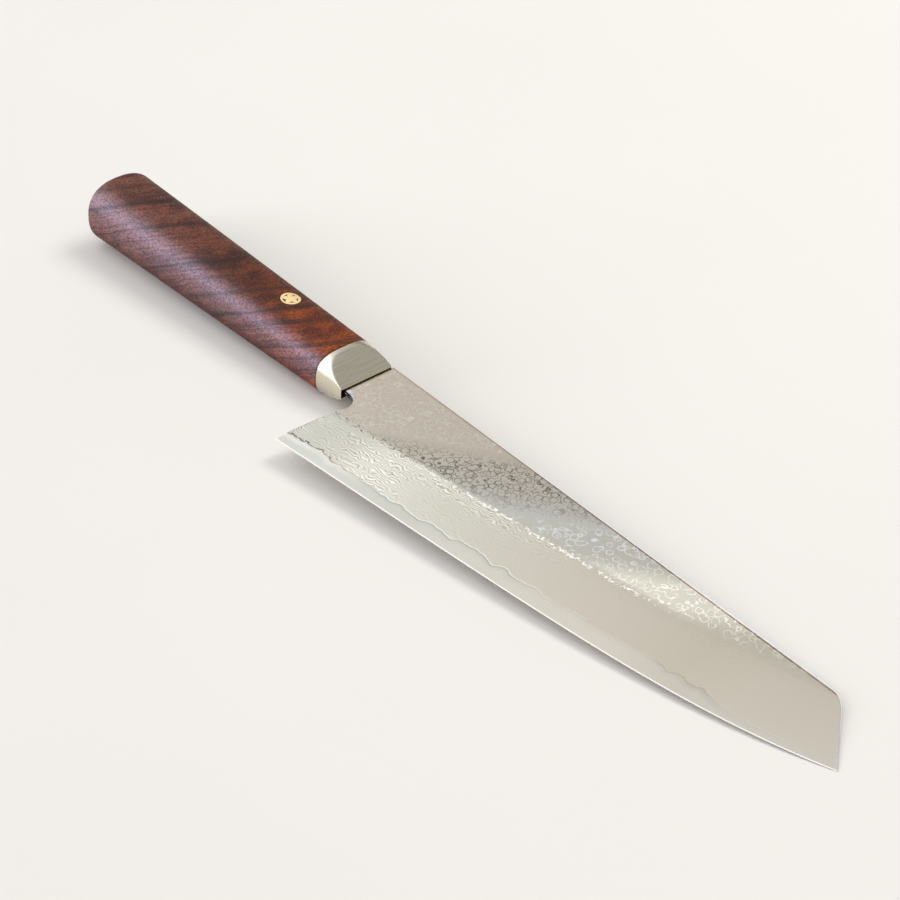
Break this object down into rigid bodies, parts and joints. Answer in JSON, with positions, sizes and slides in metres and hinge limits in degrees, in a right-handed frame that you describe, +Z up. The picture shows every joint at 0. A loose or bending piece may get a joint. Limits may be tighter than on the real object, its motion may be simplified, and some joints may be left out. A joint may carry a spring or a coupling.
{
  "type": "gyuto knife",
  "caption": "K-tip gyuto kitchen knife with a layered steel blade, faceted metal ferrule and oval wooden handle held by a mosaic pin.",
  "frame": {"origin": "under the middle of the knife, at the height of the handle's underside as the knife lies on its side", "axes": "+X from the handle to the tip, +Y from the edge to the spine, +Z up out of the blade's show face"},
  "size_m": [0.3552, 0.0562, 0.0243],
  "materials": {
    "core_steel": "fine satin, ground to the edge",
    "cladding_steel": "etched layered steel, satin",
    "ferrule_steel": "satin, brushed across the facet",
    "handle_wood": "oiled, satin",
    "bedding_resin": "set resin",
    "pin_brass": "polished flush",
    "pin_resin": "polished flush"
  },
  "bodies": {
    "root": {"blade_core": "core_steel", "cladding_upper": "cladding_steel", "cladding_lower": "cladding_steel", "ferrule": "ferrule_steel", "handle": "handle_wood", "tang_bedding": "bedding_resin", "pin_tube": "pin_brass", "pin_resin": "pin_resin", "pin_rod_centre": "pin_brass", "pin_rod_1": "pin_brass", "pin_rod_2": "pin_brass", "pin_rod_3": "pin_brass", "pin_rod_4": "pin_brass", "pin_rod_5": "pin_brass"}
  },
  "joints": []
}
